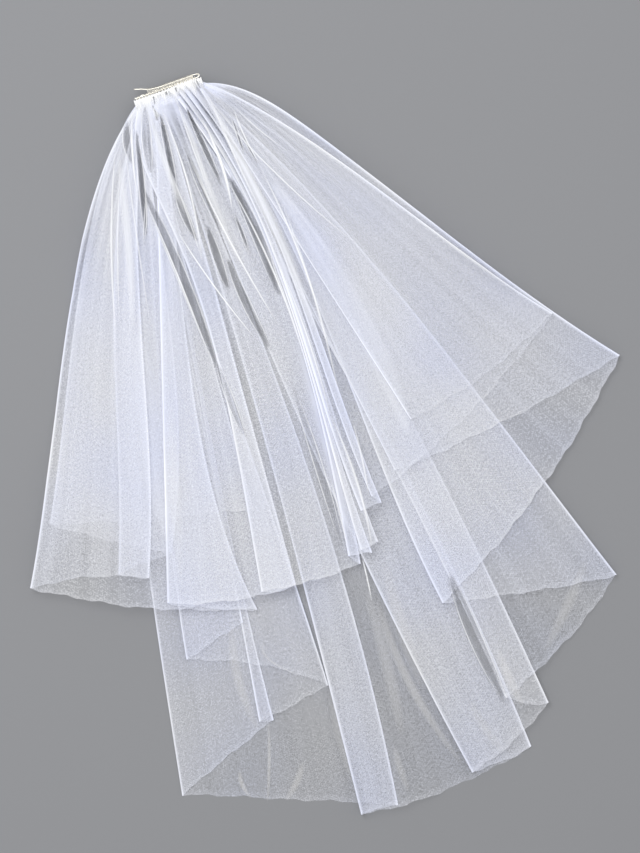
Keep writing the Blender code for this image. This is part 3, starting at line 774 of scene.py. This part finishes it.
def gathered_tulle():
    """The same nylon tulle in many layers, pulled tight: nearly closed, with painted shade in a warmer cream between
    its gathers' crests, and a painted cream sheen on the soft wrinkles.
    """
    material = bpy.data.materials.new("gathered_nylon_tulle")
    material.use_nodes = True
    tree = material.node_tree
    shader = tree.nodes["Principled BSDF"]
    shade_and_sheen = add(tree, "Attribute", attribute_name="shade_and_sheen")
    cover = add(tree, "Attribute", attribute_name="cover")
    # Painted shade and sheen: cream where the value is low, between the gathers' crests and on the soft wrinkles, white
    # where it is high
    tone = add(tree, "MixRGB", {"Fac": shade_and_sheen.outputs["Fac"], "Color1": linear("#F3EFE7"), "Color2": linear("#FCFDFF")})
    tree.links.new(tone.outputs["Color"], shader.inputs["Base Color"])
    tree.links.new(cover.outputs["Fac"], shader.inputs["Alpha"])
    shader.inputs["Roughness"].default_value = 0.7
    return material


def tuck_strip(streak, side, half_width, cover, heights):
    """A strip along a streak's middle (side 0) or a rim (side 1 or -1), arched by 1 - x squared across it."""
    y = np.linspace(streak.y_top, streak.y_low, TUCK_STEPS + 1)
    lens = streak_lens(streak, y)
    x = streak_middle(streak, y) + side * streak.half_width * lens
    bed = heights[map_index(x, y)] + TULLE_WALL / 2
    padded = np.pad(bed, 2, mode="edge")
    windows = [padded[k:k + len(y)] for k in range(5)]
    bed = np.maximum(np.mean(windows, axis=0), bed)
    arch = 1 - TUCK_ACROSS ** 2
    share = TUCK_END_WIDTH + (1 - TUCK_END_WIDTH) * lens[:, None]
    plan_x = x[:, None] + half_width * share * TUCK_ACROSS
    z = bed[:, None] + TUCK_LIFT + TUCK_CROWN * arch
    points = np.stack([plan_x, np.broadcast_to(y[:, None], z.shape), z], axis=2)
    return points, cover * arch * lens[:, None]


strips = [tuck_strip(streak, 0, streak.half_width, streak.lift, height_map) for streak in TUCKS + SHEEN_WRINKLES]
for streak in OPENINGS:
    strips += [tuck_strip(streak, side, RIM_HALF_WIDTH, RIM_COVER, height_map) for side in (-1, 1)]
strip_size = strips[0][0].shape[:2]
strip_points = strip_size[0] * strip_size[1]
tuck_faces = [face for k in range(len(strips)) for face in grid_faces(*strip_size, k * strip_points)]
tuck_points = np.concatenate([points.reshape(-1, 3) for points, cover in strips])
tuck_cover = np.concatenate([cover.ravel() for points, cover in strips])
# The tucks are white, and the wrinkles carry a painted cream sheen
tuck_sheen = np.ones((len(strips), strip_points))
tuck_sheen[len(TUCKS):len(TUCKS) + len(SHEEN_WRINKLES)] = WRINKLE_SHEEN_TONE
packed_tulle = gathered_tulle()
make_piece("gather_tucks", tuck_points, tuck_faces, packed_tulle, {"cover": tuck_cover, "shade_and_sheen": tuck_sheen})

# The gathered header. The raw top edges of both tiers, pulled into tight gathers on a thread, folded over and sewn
# against the comb: a puffy ruffle whose height follows the cloth piled below it, with its ends laid over the tiers.
HEADER_NEAR_V = 2.7
HEADER_LOW = 7.0
HEADER_LEAST_HIGH = 16.0
HEADER_ABOVE_CLOTH = 0.6
HEADER_STEPS = 320
HEADER_RISE = 36
HEADER_GATHERS = 24
HEADER_UNEVEN = ((1.3, 3.7), (0.8, 1.9))
HEADER_RUFFLE = 0.4
HEADER_TUCK_IN = 1.5
HEADER_ARCH_END = 0.62
HEADER_ARCH_POWER = 0.4
HEADER_COVER = 0.98
# Painted shade of the arch's gathers: the tone's middle and its swing with the wave, creamier in the valleys, white on
# the crests
HEADER_CREST_SHADE = (0.72, 0.28)
SKIRT_STEPS = 24
SKIRT_LENGTH = 15.0
SKIRT_UNEVEN = 6.0
SKIRT_UNEVEN_WAVES = (6.1, 2.3)
SKIRT_LIFT = 0.5
SKIRT_WAVE = 0.5
SKIRT_EASE = 5.0
SKIRT_SLACK_TURNS = (0.37, 0.21)
SKIRT_COVER = 0.95
SKIRT_START = 1.15
SKIRT_LEAST_LOSS = 0.4
SKIRT_END_POWER = 0.6
# The same painted shade on the skirt, which swings less
SKIRT_CREST_SHADE = (0.92, 0.08)


def pile_height(heights, s, v):
    """How high the cloth is piled at places s and v: the map's highest near there, evened out along the comb."""
    spots = COMB_LEFT_END + s[:, None] * ALONG + v[:, None] * DOWN
    pile = heights[map_index(spots[:, 0], spots[:, 1])] + TULLE_WALL / 2
    padded = np.pad(pile, 2, mode="edge")
    highest = np.max([padded[k:k + len(s)] for k in range(5)], axis=0)
    padded = np.pad(highest, 1, mode="edge")
    return (padded[:-2] + padded[1:-1] + padded[2:]) / 3


def header_grid(heights):
    """The ruffle's points, its painted shade between the gathers' crests, and its cover: an arch over the seam, sin to
    a low power, then a skirt on the cloth.

    The skin waves in and out along the comb in uneven gathers, and its back wall tucks in between them. The skirt's
    end is uneven, and its cover fades by a power of what is left of it, faster where the gathers are slack.
    """
    coarse = np.linspace(0, COMB_LENGTH, 2 * HEADER_GATHERS + 1)
    s = np.linspace(0, COMB_LENGTH, HEADER_STEPS + 1)
    seam_v = np.full(coarse.shape, HEADER_FAR_V + 2 * SEAM_GAP)
    pile = np.maximum(pile_height(heights, coarse, seam_v) + HEADER_ABOVE_CLOTH, HEADER_LEAST_HIGH)
    top = np.interp(s, coarse, pile)
    uneven = sum(sway * np.sin(s / apart) for sway, apart in HEADER_UNEVEN)
    phase = 2 * math.pi * HEADER_GATHERS * s / COMB_LENGTH + uneven
    wave = np.sin(phase)
    p = np.linspace(0, HEADER_ARCH_END, HEADER_RISE + 1)[:, None]
    depth = (HEADER_FAR_V - HEADER_NEAR_V) / 2
    tuck_in = HEADER_TUCK_IN * (1 - wave) / 2 * np.clip(np.cos(math.pi * p), 0, 1)
    arch_v = (HEADER_FAR_V + HEADER_NEAR_V) / 2 - depth * np.cos(math.pi * p) + tuck_in
    rise = np.sin(math.pi * p) ** HEADER_ARCH_POWER
    arch_z = HEADER_LOW + (top - HEADER_LOW) * rise + HEADER_RUFFLE * wave * rise
    q = np.linspace(0, 1, SKIRT_STEPS + 1)[1:, None]
    reach = SKIRT_LENGTH + SKIRT_UNEVEN * np.sin(s / SKIRT_UNEVEN_WAVES[0]) * np.cos(s / SKIRT_UNEVEN_WAVES[1])
    skirt_v = arch_v[-1] + reach * q
    bed = np.array([pile_height(heights, s, v) for v in skirt_v])
    ease = np.exp(-q * SKIRT_EASE)
    skirt_z = bed + SKIRT_LIFT + SKIRT_WAVE * (1 + wave) + ease * (arch_z[-1] - bed[0] - SKIRT_LIFT)
    slack = 0.5 + 0.5 * np.sin(phase * SKIRT_SLACK_TURNS[0] + 1) * np.sin(phase * SKIRT_SLACK_TURNS[1])
    full = np.minimum(SKIRT_START - q * (SKIRT_LEAST_LOSS + slack), SKIRT_COVER)
    skirt_cover = np.clip((1 - q) ** SKIRT_END_POWER * full, 0, 1)
    skirt = comb_space(s, skirt_v, skirt_z)
    skirt_cover = open_slits(skirt_cover, skirt[:, :, 0], skirt[:, :, 1])
    points = np.concatenate([comb_space(s, arch_v, arch_z), skirt])
    # Painted shade: a creamier tone in the valleys between the gathers and white on their crests
    shade_and_sheen = np.concatenate([
        np.broadcast_to(middle + swing * wave, block.shape)
        for (middle, swing), block in ((HEADER_CREST_SHADE, arch_v), (SKIRT_CREST_SHADE, skirt_v))
    ])
    return points, shade_and_sheen, np.concatenate([np.full(arch_v.shape, HEADER_COVER), skirt_cover])


header_points, shade_and_sheen, header_cover = header_grid(height_map)
header = make_piece("gathered_header_ruffle", header_points, grid_faces(*header_points.shape[:2]), packed_tulle,
                    {"shade_and_sheen": shade_and_sheen, "cover": header_cover})
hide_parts("gathered_header")

# The stitching. White sewing thread, whipped over the near strand and through the gathers.
STITCH_THREAD = 0.45
STITCH_COUNT = 22
STITCH_STEPS = 14
STITCH_FIRST = 2.0
STITCH_LAST = 75.0
STITCH_UNEVEN = 0.5
STITCH_UNEVEN_TURNS = 0.37
STITCH_MIDDLE_V = 1.9
STITCH_HALF_DEPTH = 2.9
STITCH_RAISED = 1.0
STITCH_HALF_HEIGHT = 2.4

turn = np.linspace(0, 2 * math.pi * STITCH_COUNT, STITCH_COUNT * STITCH_STEPS + 1)
stitch_s = STITCH_FIRST + (STITCH_LAST - STITCH_FIRST) * turn / turn[-1]
stitch_route = comb_space(
    stitch_s + STITCH_UNEVEN * np.sin(turn * STITCH_UNEVEN_TURNS),
    STITCH_MIDDLE_V - STITCH_HALF_DEPTH * np.cos(turn),
    SPINE_HEIGHT + STITCH_RAISED + STITCH_HALF_HEIGHT * np.sin(turn),
)
# Spun polyester: an off-white thread with a soft, dull light on it
thread = bpy.data.materials.new("white_polyester_sewing_thread")
thread.use_nodes = True
thread_shader = thread.node_tree.nodes["Principled BSDF"]
thread_shader.inputs["Base Color"].default_value = linear("#F4F0E4")
thread_shader.inputs["Roughness"].default_value = 0.6
make_wire("whip_stitches", stitch_route, STITCH_THREAD, coil_axis, thread)

# The studio. A plain pale floor at the veil's underside, one large soft light overhead and an even surround.
FLOOR_HALF = 6.0
SOFTBOX_SIZE = 1.6
SOFTBOX_WATTS = 58.0
SOFTBOX_PLACE = (-0.9, 1.2, 2.9)
SOFTBOX_TILT_DEG = (-22.5, -17.0, 0.0)
SURROUND_STRENGTH = 0.75
LAYERS_SEEN_THROUGH = 64
PHOTO_HEIGHT_PX = 853
MM_A_PIXEL = 1.1
PHOTO_CENTRE = np.array([-6.05, 20.35])
CAMERA_HEIGHT = 2.6
CLOTH_HEIGHT = 0.006
SENSOR = 36.0

floor_mesh = bpy.data.meshes.new("floor")
corners = [(-1, -1), (1, -1), (1, 1), (-1, 1)]
floor_mesh.from_pydata([(x * FLOOR_HALF, y * FLOOR_HALF, 0.0) for x, y in corners], [], [(0, 1, 2, 3)])
floor = bpy.data.objects.new("floor", floor_mesh)
bpy.context.collection.objects.link(floor)
floor_paint = bpy.data.materials.new("pale_matt_floor_paint")
floor_paint.use_nodes = True
floor_shader = floor_paint.node_tree.nodes["Principled BSDF"]
floor_shader.inputs["Base Color"].default_value = linear("#87888B")
floor_shader.inputs["Roughness"].default_value = 0.9
floor_mesh.materials.append(floor_paint)

softbox = bpy.data.lights.new("softbox", "AREA")
softbox.shape = "SQUARE"
softbox.size = SOFTBOX_SIZE
softbox.energy = SOFTBOX_WATTS
softbox_object = bpy.data.objects.new("softbox", softbox)
softbox_object.location = SOFTBOX_PLACE
softbox_object.rotation_euler = np.radians(SOFTBOX_TILT_DEG)
bpy.context.collection.objects.link(softbox_object)

world = bpy.data.worlds.new("even_surround")
world.use_nodes = True
world.node_tree.nodes["Background"].inputs["Color"].default_value = linear("#FFFFFF")
world.node_tree.nodes["Background"].inputs["Strength"].default_value = SURROUND_STRENGTH
bpy.context.scene.world = world
bpy.context.scene.view_settings.view_transform = "Standard"
bpy.context.scene.cycles.transparent_max_bounces = LAYERS_SEEN_THROUGH

camera_data = bpy.data.cameras.new("camera")
camera_data.sensor_width = SENSOR
photo_height = PHOTO_HEIGHT_PX * MM_A_PIXEL * MM
camera_data.lens = SENSOR * (CAMERA_HEIGHT - CLOTH_HEIGHT) / photo_height
camera = bpy.data.objects.new("camera", camera_data)
camera.location = (*((PHOTO_CENTRE - VEIL_CENTRE) * MM), CAMERA_HEIGHT)
bpy.context.collection.objects.link(camera)
bpy.context.scene.camera = camera
